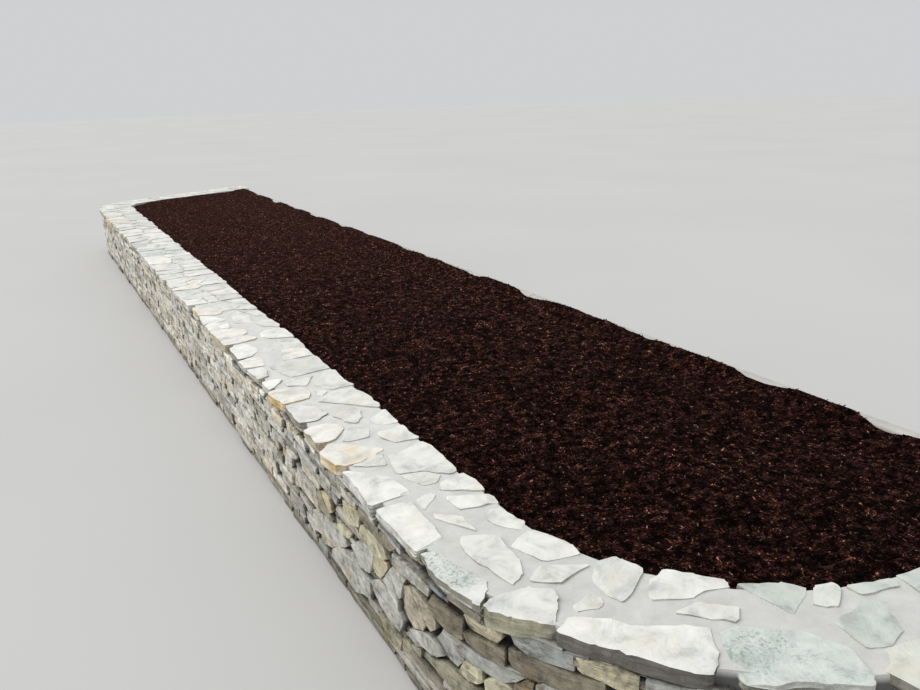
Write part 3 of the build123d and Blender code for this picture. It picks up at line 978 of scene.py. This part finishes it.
# Flags of the coping
# Riven quartzite flags, near-white with a few cream, ochre and blue-grey speckled ones, their outer edges
# split rough. Those near the viewpoint are drawn one by one by their corners, and the others are cut from
# close-set cells.
flag_kinds = {  # colour, marks: dark speckle above zero, ochre stain below
    "white": ((0.795, 0.796, 0.765), 0.10),
    "bright": ((0.880, 0.878, 0.842), 0.0),
    "grey": ((0.745, 0.750, 0.724), 0.20),
    "cream": ((0.870, 0.854, 0.800), 0.0),
    "ochre": ((0.850, 0.828, 0.768), -1.0),
    "blue": ((0.770, 0.780, 0.755), 1.0),
}
flag_edges = {  # tone, thickness
    "dark": (0.07, 0.036),
    "brown": (0.22, 0.022),
    "olive": (0.37, 0.047),
    "tan": (0.52, 0.030),
    "beige": (0.70, 0.040),
    "silver": (0.90, 0.016),
    "ash": (0.90, 0.038),
}
drawn_flags = [  # kind and edge tone, corners as (millimetres along the wall, millimetres in from its edge)
    ("grey", (1105, 312), (930, 312), (930, 285), (1075, 275)),
    ("cream", (1205, 325), (1125, 328), (1120, 310), (1180, 245), (1245, 260)),
    ("grey", (1225, 200), (1075, 265), (1010, 240), (1025, 175), (1140, 115), (1195, 115)),
    ("cream brown", (1210, 70), (1160, 110), (1055, 125), (930, 120), (900, 20), (960, -5), (1150, -10)),
    ("grey", (1455, 335), (1300, 345), (1225, 325), (1315, 230)),
    ("blue silver", (1525, 145), (1485, 175), (1320, 175), (1230, 120), (1225, 40), (1230, 10), (1320, 18),
     (1375, 22), (1425, 5), (1485, 15), (1500, 50)),
    ("white", (1640, 190), (1585, 240), (1460, 240), (1470, 190)),
    ("white", (1735, 290), (1695, 346), (1600, 350), (1485, 344), (1478, 315), (1555, 290), (1590, 255),
     (1710, 215)),
    ("white dark", (1880, 20), (1875, 85), (1780, 120), (1730, 115), (1620, 150), (1545, 158), (1530, 90),
     (1535, 35), (1542, 10), (1590, 10), (1705, 20), (1745, 25), (1790, 19)),
    ("grey", (1900, 230), (1920, 300), (1885, 340), (1850, 343), (1760, 326), (1770, 185), (1875, 195)),
    ("white", (1890, 110), (1875, 175), (1825, 170), (1820, 145), (1875, 100)),
    ("white olive", (2065, 0), (2045, -12), (1985, 2), (1930, 24), (1888, 40), (1908, 82), (1926, 112),
     (1962, 146), (2018, 118), (2048, 72), (2060, 30)),
    ("white", (2035, 135), (2060, 200), (1930, 285), (1965, 170)),
    ("white", (2210, 215), (2230, 325), (2160, 336), (2045, 330), (1990, 312), (2060, 225)),
    ("blue brown", (2340, 20), (2310, 52), (2175, 66), (2135, 70), (2110, 65), (2095, 45), (2062, -12),
     (2085, -12), (2160, -12), (2250, -5), (2300, 12)),
    ("white", (2335, 140), (2275, 220), (2120, 190), (2065, 140), (2055, 100), (2265, 105)),
    ("white", (2420, 260), (2410, 310), (2285, 325), (2240, 290), (2365, 240)),
    ("cream", (2485, 130), (2435, 190), (2330, 195), (2450, 130)),
    ("white", (2555, 205), (2485, 330), (2435, 325), (2460, 205)),
    ("bright silver", (2590, 0), (2575, 110), (2350, 100), (2335, 5)),
    ("white", (2595, 125), (2580, 200), (2510, 120)),
    ("white", (2630, 230), (2650, 318), (2580, 332), (2515, 326), (2590, 210)),
    ("grey", (2735, 150), (2715, 230), (2675, 260), (2635, 230), (2640, 185)),
    ("bright ash", (2865, 10), (2745, 120), (2615, 135), (2615, -5), (2735, 10)),
    ("white", (2880, 175), (2890, 235), (2920, 315), (2860, 328), (2675, 320), (2655, 290), (2685, 255),
     (2720, 235), (2750, 145)),
    ("white", (2875, 40), (2910, 170), (2820, 145), (2840, 100)),
    ("ochre tan", (3015, -10), (3065, 40), (3010, 140), (2930, 185), (2900, 135), (2875, 40), (2900, 5)),
    ("white", (3055, 215), (3070, 315), (2940, 320), (2955, 240), (3015, 210)),
    ("cream tan", (3225, 5), (3245, 80), (3190, 135), (3150, 130), (3095, 85), (3080, 50), (3085, 10)),
    ("grey", (3165, 145), (3115, 210), (3045, 185), (3050, 95), (3075, 90)),
    ("white", (3180, 235), (3240, 325), (3100, 320), (3115, 245)),
    ("white", (3290, 140), (3330, 200), (3315, 250), (3210, 225), (3175, 185), (3200, 160)),
    ("white brown", (3475, 20), (3395, 120), (3310, 130), (3275, 80), (3285, 15), (3345, 10)),
    ("white", (3445, 140), (3515, 225), (3505, 305), (3445, 325), (3290, 330), (3260, 315), (3370, 210)),
    ("white", (3565, 165), (3530, 210), (3485, 165)),
    ("ochre tan", (3635, 0), (3655, 30), (3620, 140), (3540, 145), (3495, 120), (3485, 20)),
    ("white", (3630, 185), (3765, 285), (3745, 325), (3615, 310), (3530, 325), (3535, 225)),
    ("white", (3720, 95), (3755, 125), (3730, 220), (3635, 160), (3670, 90)),
    ("bright silver", (3765, 10), (3780, 45), (3760, 95), (3730, 85), (3660, 15)),
    ("grey", (3945, 95), (3980, 185), (3965, 315), (3775, 315), (3760, 140), (3805, 120)),
    ("bright silver", (3960, 0), (3945, 75), (3825, 60), (3810, 15)),
    ("cream silver", (4095, 0), (4100, 65), (4070, 110), (4000, 110), (3965, 80), (3980, 0)),
    ("cream", (4110, 200), (4140, 220), (4100, 310), (3985, 315), (3980, 175)),
    ("white", (4165, 120), (4210, 165), (4185, 210), (4140, 160), (4120, 130)),
    ("bright brown", (4295, 10), (4325, 85), (4280, 115), (4210, 125), (4125, 75), (4110, 5)),
    ("white", (4295, 230), (4270, 328), (4115, 320), (4155, 235)),
    ("white", (4440, 190), (4485, 230), (4460, 328), (4290, 328), (4335, 220), (4395, 185)),
    ("bright tan", (4420, -5), (4465, 105), (4390, 170), (4360, 150), (4345, 0)),
    ("cream tan", (4635, -5), (4625, 75), (4570, 150), (4490, 150), (4450, 85), (4440, 0)),
    ("white", (4745, 270), (4710, 320), (4535, 328), (4505, 310), (4550, 245), (4640, 225)),
    ("bright silver", (4755, -5), (4755, 60), (4720, 110), (4625, 100), (4650, -5)),
    ("white", (4850, 155), (4930, 205), (4795, 245), (4660, 220), (4700, 140)),
    ("white", (4930, 215), (4890, 305), (4730, 325), (4745, 275), (4820, 255)),
    ("bright silver", (4945, 10), (4880, 120), (4795, 115), (4765, 60), (4775, -5)),
    ("white", (4970, 195), (5025, 315), (4905, 315), (4945, 230)),
    ("white", (4975, 125), (5060, 160), (5040, 255), (4980, 210)),
    ("ochre silver", (5150, 10), (5150, 35), (5060, 130), (4950, 135), (4920, 100), (4960, 15)),
    ("white", (5180, 200), (5215, 300), (5205, 315), (5075, 315), (5055, 285), (5155, 215)),
]


def flag_cell(seed, seeds, low, high, joint):
    """Corners of one flag: a rectangle cut back half a joint from every neighbour's middle line."""
    cell = bmesh.new()
    middle = Vector(((low[0] + high[0]) / 2, (low[1] + high[1]) / 2, 0))
    size = Matrix.Diagonal((high[0] - low[0], high[1] - low[1], 1, 1))
    cell_place = Matrix.Translation(middle) @ size
    bmesh.ops.create_grid(cell, x_segments=1, y_segments=1, size=0.5, matrix=cell_place)
    for other in seeds:
        towards = other - seed
        if 0 < towards.length < 0.6:
            bmesh.ops.bisect_plane(
                cell, geom=cell.verts[:] + cell.edges[:] + cell.faces[:],
                plane_co=((seed + other) / 2 - towards.normalized() * joint / 2).to_3d(),
                plane_no=towards.to_3d(), clear_outer=True,
            )
    corners = []
    if cell.faces and cell.faces[:][0].calc_area() > 0.0025:
        corners = [vert.co.xy.copy() for vert in cell.faces[:][0].verts]
    cell.free()
    return corners


flag_stone, tree, place = new_finish("riven_flag")
tint_and_shade = add_node(tree, "ShaderNodeAttribute", attribute_name="stone_tint_and_shade").outputs
marks = add_node(tree, "ShaderNodeAttribute", attribute_name="flag_marks").outputs["Fac"]
own_place = place_in_stone(tree, place, tint_and_shade, 7.0)
grain = grain_of(tree, own_place, patch_scale=15.0, grain_scale=280.0)
broad = cloud(tree, own_place, 6.0, detail=5.0, roughness=0.6)
blotches = ramp(
    tree, grain["Patches"], (0.30, (0.74, 0.75, 0.74)), (0.44, (0.94, 0.95, 0.94)),
    (0.56, (1.01, 1.01, 1.00)), (0.72, (1.07, 1.06, 1.03)),
)
colour = times(tree, tint_and_shade["Color"], blotches)
fine = ramp(tree, grain["Height"], (0.36, 0.88), (0.50, 1.0), (0.64, 1.07))
colour = times(tree, colour, fine)
warm = ramp(tree, broad, (0.54, 0.0), (0.70, 0.55))
colour = mixed(tree, warm, colour, times(tree, tint_and_shade["Color"], (1.0, 0.94, 0.80, 1.0)))

# Marks above zero: a bluish cast with fine dark speckles
speckle_area = ramp(tree, broad, (0.48, 0.0), (0.60, 1.0))
speckle_area = times(tree, speckle_area, arithmetic(tree, "MAXIMUM", marks, 0.0))
colour = times(tree, colour, (0.89, 0.93, 0.935, 1.0), speckle_area)
speckles = cloud(tree, own_place, 120.0, detail=4.0, roughness=0.75)
speckles = ramp(tree, speckles, (0.50, 0.0), (0.60, 0.9))
colour = mixed(tree, times(tree, speckles, speckle_area), colour, (0.30, 0.355, 0.365, 1.0))

# Marks below zero: an ochre stain
stain_share = arithmetic(tree, "MULTIPLY", marks, -1.0)
stain_area = ramp(tree, broad, (0.48, 0.0), (0.64, 0.56))
colour = mixed(tree, times(tree, stain_area, stain_share), colour, (0.760, 0.580, 0.300, 1.0))

# The split edge, wherever the surface doesn't face up: layered, and of its own tone
slope = add_node(tree, "ShaderNodeNewGeometry").outputs["Normal"]
slope = add_node(tree, "ShaderNodeSeparateXYZ", {"Vector": slope}).outputs["Z"]
edge_share = fade(tree, slope, 0.25, 0.70, start=1.0, end=0.0)
layered = stretched(tree, own_place, (12.0, 12.0, 130.0))
edge_strata = cloud(tree, layered, 1.0, detail=7.0, roughness=0.7)
edge_tone = ramp(
    tree, tint_and_shade["Alpha"], (0.0, (0.168, 0.158, 0.140)), (0.15, (0.285, 0.268, 0.222)),
    (0.30, (0.430, 0.415, 0.305)), (0.45, (0.540, 0.480, 0.340)), (0.60, (0.610, 0.575, 0.480)),
    (0.80, (0.590, 0.590, 0.550)), stepped=True,
)
edge_layers = ramp(
    tree, edge_strata, (0.30, 0.40), (0.44, 0.90), (0.482, 1.0), (0.494, 0.50), (0.506, 1.0), (0.58, 1.10),
    (0.70, 1.40),
)
edge_mottle = ramp(tree, grain["Height"], (0.38, 0.62), (0.50, 1.0), (0.62, 1.32))
edge_colour = times(tree, times(tree, edge_tone, edge_layers), edge_mottle)
ochre_edge = ramp(
    tree, grain["Patches"], (0.38, (0.560, 0.370, 0.150)), (0.50, (0.720, 0.540, 0.270)),
    (0.62, (0.800, 0.720, 0.550)),
)
edge_colour = mixed(tree, stain_share, edge_colour, times(tree, ochre_edge, edge_layers))
colour = mixed(tree, edge_share, colour, edge_colour)

# Its relief: low steps where layers have split off, and the layers themselves on the edge
cleaving = cloud(tree, own_place, 8.5, detail=4.0, distortion=0.9)
steps = ramp(
    tree, cleaving, (0.30, 0.0), (0.36, 0.12), (0.375, 0.24), (0.45, 0.36), (0.465, 0.48), (0.55, 0.62),
    (0.565, 0.74), (0.70, 1.0),
)
relief = mixed(tree, 0.35, steps, grain["Height"])
relief = mixed(tree, edge_share, relief, edge_strata)
close_finish(tree, colour, roughness=0.80, gloss=0.4, height=relief, depth=0.006, strength=0.8)

rng = Random(5)
flag_groups = {name: new_group() for name, _ in wall_groups}
for group in flag_groups.values():
    group.verts.layers.float.new("flag_marks")
flag_shade_to, flag_painted_shade = 1.6, Vector((0.845, 0.885, 0.872))  # run before which the flags are painted darker and cooler, as the near curve's shade
dull_from, dull = 7.0, 0.965  # run past which they are a little duller
outer_within = 0.030  # how near the coping's edge a flag has to come for its own edge to show
highest_flag = coping_top + 0.004
least_slip, slip_lap = 0.003, 0.0025  # lowest gap that takes a slip, and how far each overlaps the next
edge_tones = ("brown", "olive", "tan", "beige", "beige", "silver", "silver", "ash")
packing_tones = {  # of the slips packed under a flag, before and past the near curve's end
    False: ("dark", "dark", "brown", "brown", "olive"),
    True: ("olive", "tan", "beige", "beige", "silver"),
}


def set_flag(rng, name, corners):
    """Beds a flag, named by its kind and edge tone and drawn by its corners, on slips that level it."""
    kind, _, edge = name.partition(" ")
    colour, marks = flag_kinds[kind]
    colour = Vector(colour) * rng.uniform(0.94, 1.03)
    if corners[0][0] > dull_from:
        colour *= dull
    # Painted shade on the flags round the near curve
    if corners[0][0] < flag_shade_to:
        colour *= flag_painted_shade
    middle = middle_of(corners)
    edge = edge or rng.choice(edge_tones)
    outer = max(corner[1] for corner in corners) > -outer_within
    top = coping_top + rng.uniform(-0.0022, 0.0016)
    bottom = top - flag_edges[edge][1] * rng.uniform(0.85, 1.10) if outer else coping_bed
    dip = Vector((rng.uniform(-0.010, 0.010), rng.uniform(-0.010, 0.010)))
    cell = (0.034, 0.050)
    while top > coping_bed + least_slip:
        tone = flag_edges[edge if outer else "silver"][0] + rng.uniform(-0.06, 0.06)
        flag = split_stone(
            rng, corners, top - bottom, cell=cell, rounding=0.010, ragged=0.0032,
            chips=rng.choice((0, 0, 1, 2)), layers=(13.0, 13.0), relief=0.0028, arris=0.0035,
            painted_side_shade=no_side_shade, colour=Vector((*colour, tone)),
        )
        marks_layer = flag.verts.layers.float.new("flag_marks")
        for vert in flag.verts:
            vert[marks_layer] = marks
            vert.co.z = min(vert.co.z + top + (vert.co.xy - middle).dot(dip), highest_flag)
        add_to_bay(flag_groups, middle.x, flag)
        cell, marks = (0.060, 0.200), 0.0
        edge = rng.choice(packing_tones[middle.x > near_curve_end])
        top, bottom = bottom + slip_lap, max(coping_bed - 0.002, bottom - rng.uniform(0.008, 0.016))
        corners = [(corner[0], corner[1] - rng.uniform(0.002, 0.012)) for corner in corners]


for kind, *corners in drawn_flags:
    set_flag(rng, kind, [(along / 1000, -inwards / 1000) for along, inwards in corners])

kind_shares = ["white"] * 46 + ["bright"] * 7 + ["grey"] * 28 + ["cream"] * 13 + ["ochre"] * 2 + ["blue"] * 4
drawn_from, drawn_to = 0.90, 5.20  # run of the flags drawn one by one
between_rows = 1.6  # flags a metre between the two rows
cell_reach = 0.4
for start, end in ((-0.02, drawn_from), (drawn_to, far_return_end + 0.25)):
    seeds = []
    for depth_in in (0.085, 0.235):
        along = start + rng.uniform(0.02, 0.10)
        while along < end:
            seeds.append(Vector((along, -depth_in + rng.uniform(-0.032, 0.032))))
            along += rng.uniform(0.08, 0.19)
    for _ in range(int((end - start) * between_rows)):
        seeds.append(Vector((rng.uniform(start, end), rng.uniform(-0.2, -0.12))))
    for seed in seeds:
        low = (max(start, seed.x - cell_reach), -coping_width + rng.uniform(-0.006, 0.012))
        high = (min(end, seed.x + cell_reach), rng.uniform(-0.010, 0.008))
        corners = flag_cell(seed, seeds, low, high, rng.uniform(0.004, 0.011))
        if corners:
            set_flag(rng, rng.choice(kind_shares), corners)

for bay, _ in wall_groups:
    replaced = nodes_of(bay, "coping", coping_nodes)
    finish_piece(flag_groups[bay], f"{bay}_flags", flag_stone, "coping_stone", *replaced)

# Kerb of the terrace side
# Pale precast concrete edging, ten lengths end to end with narrow joints, their top edges rounded.
concrete, tree, place = new_finish("kerb_concrete")
grain = grain_of(tree, place, patch_scale=12.0, grain_scale=360.0)
colour = ramp(tree, grain["Patches"], (0.30, (0.44, 0.43, 0.40)), (0.60, (0.58, 0.57, 0.54)))
colour = times(tree, colour, (0.6, 0.6, 0.6, 1.0), grain["Specks"])
close_finish(tree, colour, roughness=0.9, gloss=0.3, height=grain["Height"], depth=0.003, strength=0.7)

kerb_nodes = [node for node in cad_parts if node.startswith("back_kerb")]
kerb_low, kerb_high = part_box("back_kerb_1")
kerb_row_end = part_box("back_kerb_5")[1].y
kerb_count = 10
kerb_joint = 0.005
kerb_rounding = 0.012
kerb_step = (kerb_high.y + kerb_joint - kerb_low.y) / 2
kerb_middle = (kerb_low.x + kerb_high.x) / 2
kerbs = bmesh.new()
for count in range(kerb_count):
    near = kerb_low.y + count * kerb_step
    last = count == kerb_count - 1
    far = kerb_row_end if last else near + kerb_step - kerb_joint
    kerb = cut_box((kerb_low.x, near, kerb_low.z), (kerb_high.x, far, kerb_high.z), cuts_across=7)
    top_edges = [
        edge for edge in kerb.edges
        if all(abs(vert.co.z - kerb_high.z) < 1e-5 for vert in edge.verts)
        and abs(edge.verts[0].co.x - edge.verts[1].co.x) < 1e-5
        and abs(edge.verts[0].co.x - kerb_middle) > 0.02
    ]
    bmesh.ops.bevel(
        kerb, geom=top_edges, offset=kerb_rounding, offset_type="OFFSET", segments=4, profile=0.5,
        affect="EDGES", material=-1,
    )
    if last:
        inner = on_line(Vector((far_corner_end, -coping_width, 0)))
        trim(kerb, inner, (-sin(far_heading), cos(far_heading), 0))
    add_stone(kerbs, kerb)
finish_piece(kerbs, "back_kerbs", concrete, "concrete", *kerb_nodes)

# Soil
# Dark topsoil under the bark, the CAD solid as it is.
soil, tree, place = new_finish("topsoil")
grain = grain_of(tree, place, patch_scale=30.0, grain_scale=200.0)
colour = ramp(tree, grain["Patches"], (0.3, (0.020, 0.013, 0.009)), (0.7, (0.050, 0.034, 0.024)))
close_finish(tree, colour, roughness=0.97, gloss=0.2, height=grain["Height"], depth=0.006)
for slot_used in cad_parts["soil_fill"].material_slots:
    slot_used.material = soil

# Bark mulch
# Finely shredded bark, nearly black-brown with reddish fibres and a few tan chips, with painted shade at the
# near end and a painted sky sheen, paler and smoother, towards the far end. A lumpy bed crowned over the soil
# laps the walls' inner faces and is heaped here and there over the kerb.
bark_low, bark_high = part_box("bark_mulch")
inner_radius = near_radius - coping_width
far_inner_radius = far_radius - coping_width
near_centre = Vector((near_low.x, front_low.y))
far_centre = Vector((front_low.x + far_radius, front_high.y))
far_outward = Vector((-sin(far_heading), cos(far_heading)))
bare_places = [(-3.40, 0.12), (-3.92, 0.15)]  # along Y, half the width
kerb_slope = 0.62  # the bark thins out more gently over the kerb than inside the walls
bark_cell = 0.022
bark_lap = 0.026  # how far the bark goes past the inner faces, thinning out
droop = 22  # that edge drops by this times the square of how far past them it lies
bark_drop = 0.043  # the bark at the walls below the coping's top
crown_rise = 0.020
least_heap, heap_over, heap_waves = 0.018, 0.024, 0.030  # heights against the kerb, over it, and their change
heap_width = 0.14
far_heap, far_heap_width = 0.024, 0.30  # bark heaped towards the far return


def kerb_heap(y):
    """How high the bark is heaped against the kerb there, and over its top but for a few bare places."""
    heap = heap_over + heap_waves * noise.noise(Vector((0.0, y * 3.1, 1.0)))
    for bare_at, half_width in bare_places:
        heap *= min(1.0, abs(y - bare_at) / half_width)
    return least_heap + max(0.0, heap)


def past_outline(x, y):
    """How far a plan point lies outside the bed's inner faces, negative inside."""
    past = max(bark_low.x - x, (x - kerb_low.x) * kerb_slope, near_inner - y)
    if x < near_centre.x and y < near_centre.y:
        past = max(past, (Vector((x, y)) - near_centre).length - inner_radius)
    from_far = Vector((x, y)) - far_centre
    past = max(past, from_far.dot(far_outward) - far_inner_radius)
    if from_far.y > 0 and from_far.dot(Vector((cos(far_heading), sin(far_heading)))) < 0:
        past = max(past, from_far.length - far_inner_radius)
    return past


def bark_level(x, y):
    """Height of the bark at a plan point: crowned, uneven, and heaped here and there along the kerb."""
    across = (x - bark_low.x) / (kerb_low.x - bark_low.x)
    level = coping_top - bark_drop + crown_rise * (1 - (2 * across - 1) ** 2)
    for frequency, height in ((2.3, 0.013), (7.0, 0.009), (24.0, 0.005)):
        level += height * noise.noise(Vector((x * frequency, y * frequency, frequency)))
    near_kerb = min(1.0, max(0.0, 1 - (kerb_low.x - x) / heap_width))
    level += near_kerb * kerb_heap(y)
    to_far_return = far_inner_radius - (Vector((x, y)) - far_centre).dot(far_outward)
    level += far_heap * min(1.0, max(0.0, 1.35 - to_far_return / far_heap_width))
    return min(level, coping_top + 0.003)


bark, tree, place = new_finish("bark_shreds")
shade = add_node(tree, "ShaderNodeAttribute", attribute_name="shred_shade").outputs["Fac"]
lie = ramp(tree, cloud(tree, place, 45.0, detail=1.0), (0.48, 0.0), (0.52, 1.0))
along_bed, across_bed = (
    add_node(tree, "ShaderNodeTexVoronoi", {"Vector": stretched(tree, place, by), "Scale": 120.0}).outputs
    for by in ((2.8, 1.0, 1.0), (1.0, 2.8, 1.0))
)
lightness = mixed(tree, lie, across_bed["Color"], along_bed["Color"])
lightness = add_node(tree, "ShaderNodeSeparateColor", {"Color": lightness}).outputs["Red"]
lightness = arithmetic(tree, "SUBTRACT", lightness, 0.5)
lightness = arithmetic(tree, "MULTIPLY_ADD", lightness, 0.80, shade)
colour = ramp(
    tree, lightness, (0.0, (0.0028, 0.0012, 0.0012)), (0.46, (0.0100, 0.0039, 0.0034)),
    (0.72, (0.0340, 0.0122, 0.0094)), (0.89, (0.1180, 0.0460, 0.0300)), (1.0, (0.2900, 0.1500, 0.0950)),
)
fibres = cloud(tree, place, 210.0, detail=3.0, roughness=0.7)
colour = times(tree, colour, ramp(tree, fibres, (0.3, 0.40), (0.7, 1.45)))
# Clumps of lighter fibres, and painted shade in the hollows between them
clumps_and_hollow_shade = cloud(tree, place, 34.0, detail=3.0, roughness=0.65)
colour = times(tree, colour, ramp(tree, clumps_and_hollow_shade, (0.39, 0.20), (0.50, 0.80), (0.61, 2.4)))
towards_far_end = add_node(tree, "ShaderNodeSeparateXYZ", {"Vector": place}).outputs["Y"]
# Painted shade at the near end, lifting to a painted sky sheen, paler and smoother, towards the far end
colour = times(tree, colour, fade(tree, towards_far_end, -3.5, 3.5, start=0.85, end=1.9))
painted_far_sheen = fade(tree, towards_far_end, -1.5, 4.0, end=0.55)
colour = mixed(tree, painted_far_sheen, colour, (0.0400, 0.0165, 0.0125, 1.0))
relief = mixed(tree, lie, across_bed["Distance"], along_bed["Distance"])
relief = mixed(tree, 0.5, relief, fibres)
close_finish(tree, colour, roughness=0.95, gloss=0.02, height=relief, depth=0.006)

bark_spare = 0.05  # of the grid past the solid's ends, before it is trimmed
skirt_foot = coping_bed - 0.035
bed_shade, shade_change = 0.44, 0.20
bm = bmesh.new()
bark_size = Vector((bark_high.x - bark_low.x, bark_high.y - bark_low.y))
bark_size += Vector((2 * bark_spare, 2 * bark_spare))
bark_middle = (bark_low + bark_high) / 2
bark_place = Matrix.Translation((bark_middle.x, bark_middle.y, 0)) @ Matrix.Diagonal((*bark_size, 1, 1))
bmesh.ops.create_grid(
    bm, x_segments=int(bark_size.x / bark_cell), y_segments=int(bark_size.y / bark_cell), size=0.5,
    matrix=bark_place,
)
outside = [vert for vert in bm.verts if past_outline(vert.co.x, vert.co.y) > bark_lap]
bmesh.ops.delete(bm, geom=outside, context="VERTS")
shade_layer = bm.verts.layers.float.new("shred_shade")
for vert in bm.verts:
    past = past_outline(vert.co.x, vert.co.y)
    vert.co.z = bark_level(vert.co.x, vert.co.y) - max(0.0, past) ** 2 * droop
    vert[shade_layer] = bed_shade + shade_change * noise.noise(vert.co * 30.0)
scatter_mesh = bpy.data.meshes.new("bark_scatter")
bm.to_mesh(scatter_mesh)
rim = [edge for edge in bm.edges if edge.is_boundary]
skirt = bmesh.ops.extrude_edge_only(bm, edges=rim)["geom"]
for vert in (part for part in skirt if isinstance(part, bmesh.types.BMVert)):
    vert.co.z = skirt_foot
rim_edges = [part for part in skirt if isinstance(part, bmesh.types.BMEdge)]
bmesh.ops.holes_fill(bm, edges=rim_edges, sides=0)
bmesh.ops.recalc_face_normals(bm, faces=bm.faces[:])
finish_piece(bm, "bark_bed", bark, "bark", "bark_mulch")

# Loose shreds
# Split slips of bark, 5 to 20 mm long and a few thick, tapered, lying on the bed at all angles. They are
# strewn on it in four stretches.
rng = Random(71)
shred_shapes = bpy.data.collections.new("shred_shapes")
for count in range(7):
    shred = bmesh.new()
    length = 0.006 + 0.0022 * count
    bmesh.ops.create_cone(
        shred, cap_ends=True, cap_tris=True, segments=3, radius1=0.0022,
        radius2=0.0010 + 0.0003 * (count % 3), depth=length, matrix=Matrix.Rotation(pi / 2, 4, "Y"),
    )
    bmesh.ops.scale(shred, vec=(1.0, rng.uniform(0.8, 1.6), rng.uniform(0.5, 0.9)), verts=shred.verts[:])
    shred_name = f"shred_{count}"
    shred_shapes.objects.link(bpy.data.objects.new(shred_name, mesh_of(shred, shred_name, bark)))

shred_density = 3500.0  # on each square metre
most_tilt = 0.55
scatter = bpy.data.node_groups.new("scatter_shreds", "GeometryNodeTree")
scatter.is_modifier = True
for way in ("INPUT", "OUTPUT"):
    scatter.interface.new_socket("Geometry", in_out=way, socket_type="NodeSocketGeometry")
points = add_node(scatter, "GeometryNodeDistributePointsOnFaces", {
    "Mesh": add_node(scatter, "NodeGroupInput").outputs[0], "Density": shred_density, "Seed": 4,
})
shapes = add_node(scatter, "GeometryNodeCollectionInfo", {
    "Collection": shred_shapes, "Separate Children": True, "Reset Children": True,
})
turn = add_node(scatter, "FunctionNodeRandomValue", {
    0: (-most_tilt, -most_tilt, 0.0), 1: (most_tilt, most_tilt, 2 * pi),
}, data_type="FLOAT_VECTOR")
size = add_node(scatter, "FunctionNodeRandomValue", {2: 0.65, 3: 1.45, "Seed": 8}, data_type="FLOAT")
spread = add_node(scatter, "GeometryNodeInstanceOnPoints", {
    "Points": points.outputs["Points"], "Instance": shapes.outputs[0], "Pick Instance": True,
    "Rotation": turn.outputs[0], "Scale": size.outputs[1],
})
lightness = add_node(scatter, "FunctionNodeRandomValue", {"Seed": 15}, data_type="FLOAT")
tinted = add_node(scatter, "GeometryNodeStoreNamedAttribute", {
    "Geometry": spread.outputs[0], "Name": "shred_shade", "Value": lightness.outputs[1],
}, data_type="FLOAT", domain="INSTANCE")
solid = add_node(scatter, "GeometryNodeRealizeInstances", {"Geometry": tinted.outputs[0]})
add_node(scatter, "NodeGroupOutput", {0: solid.outputs[0]})

stretches = 4
stretch_length = (bark_high.y - bark_low.y + 2 * bark_spare) / stretches
for count in range(stretches):
    bm = bmesh.new()
    bm.from_mesh(scatter_mesh)
    start_y = bark_low.y - bark_spare + stretch_length * count
    elsewhere = [
        face for face in bm.faces
        if not start_y <= face.calc_center_median().y < start_y + stretch_length
    ]
    bmesh.ops.delete(bm, geom=elsewhere, context="FACES")
    bearer = in_scene("bark_stretch", mesh_of(bm, "bark_stretch"))
    bearer.modifiers.new("shreds", "NODES").node_group = scatter
    shreds = bpy.data.meshes.new_from_object(bearer.evaluated_get(bpy.context.evaluated_depsgraph_get()))
    bpy.data.objects.remove(bearer)
    finish_piece(shreds, f"bark_shreds_{count + 1}", bark, "bark", "bark_mulch")
